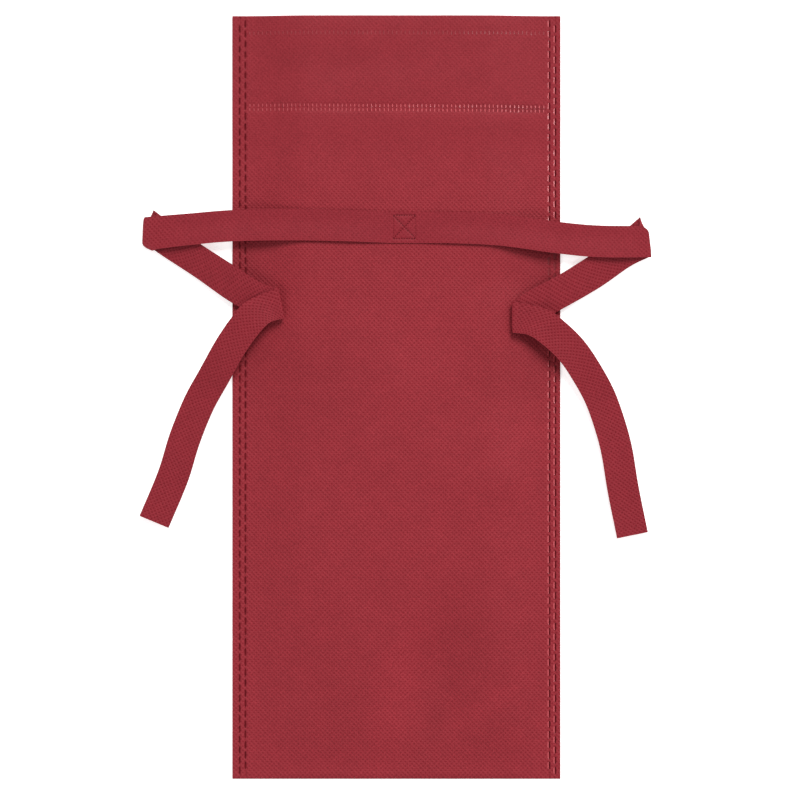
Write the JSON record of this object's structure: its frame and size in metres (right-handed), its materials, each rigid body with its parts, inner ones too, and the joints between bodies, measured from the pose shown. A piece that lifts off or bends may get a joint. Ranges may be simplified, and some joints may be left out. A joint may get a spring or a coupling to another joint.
{
  "type": "wine gift bag",
  "caption": "Flat nonwoven gift bag for one bottle, open at the top, with a welded hem, welded sides and a tie ribbon fixed to its front.",
  "frame": {"origin": "centre of the back panel's outer face, which the bag lies on", "axes": "+X to the right seen from the front, +Y from the bottom fold to the mouth, +Z out of the front panel"},
  "size_m": [0.2674, 0.4, 0.0079],
  "materials": {
    "bag_fabric": "embossed spunbond nonwoven, soft satin",
    "ribbon_fabric": "embossed spunbond nonwoven, soft satin",
    "weld": "fused and glossy"
  },
  "bodies": {
    "bag": {"back_panel": "bag_fabric", "front_panel": "bag_fabric", "bottom_fold": "bag_fabric", "back_hem_facing": "bag_fabric", "front_hem_facing": "bag_fabric", "back_mouth_fold": "bag_fabric", "front_mouth_fold": "bag_fabric", "left_side_weld_outer": "weld", "left_side_weld_inner": "weld", "right_side_weld_inner": "weld", "right_side_weld_outer": "weld", "front_hem_weld_lower": "weld", "front_hem_weld_upper": "weld", "back_hem_weld_lower": "weld", "back_hem_weld_upper": "weld", "ribbon_box_weld": "weld", "ribbon_centre": "ribbon_fabric"},
    "left_arm": {"ribbon_left_arm": "ribbon_fabric"},
    "left_middle": {"ribbon_left_middle": "ribbon_fabric"},
    "left_tail": {"ribbon_left_tail": "ribbon_fabric"},
    "right_arm": {"ribbon_right_arm": "ribbon_fabric"},
    "right_middle": {"ribbon_right_middle": "ribbon_fabric"},
    "right_tail": {"ribbon_right_tail": "ribbon_fabric"}
  },
  "joints": [
    {"name": "left_arm_lift", "type": "hinge", "parent": "bag", "child": "left_arm", "pos_m": [-0.0022, 0.0891, 0.0072], "axis": [0, 1, 0], "range_deg": [0, 75]},
    {"name": "left_middle_unfold", "type": "hinge", "parent": "left_arm", "child": "left_middle", "pos_m": [-0.1307, 0.0877, 0.00295], "axis": [0.2447, 0.9696, 0], "range_deg": [0, 45]},
    {"name": "left_tail_lift", "type": "hinge", "parent": "left_middle", "child": "left_tail", "pos_m": [-0.0599, 0.0494, 0.00718], "axis": [-0.2169, 0.9762, 0], "range_deg": [0, 90]},
    {"name": "right_arm_lift", "type": "hinge", "parent": "bag", "child": "right_arm", "pos_m": [0.0106, 0.0891, 0.0072], "axis": [0, -1, 0], "range_deg": [0, 75]},
    {"name": "right_middle_unfold", "type": "hinge", "parent": "right_arm", "child": "right_middle", "pos_m": [0.1306, 0.0837, 0.00295], "axis": [0.2174, -0.9761, 0], "range_deg": [0, 45]},
    {"name": "right_tail_lift", "type": "hinge", "parent": "right_middle", "child": "right_tail", "pos_m": [0.0602, 0.042, 0.00716], "axis": [0, -1, 0], "range_deg": [0, 90]}
  ],
  "couplings": [
    {"joint": "left_middle_unfold", "follows": "left_arm_lift", "ratio": 0.6},
    {"joint": "right_middle_unfold", "follows": "right_arm_lift", "ratio": 0.6}
  ]
}
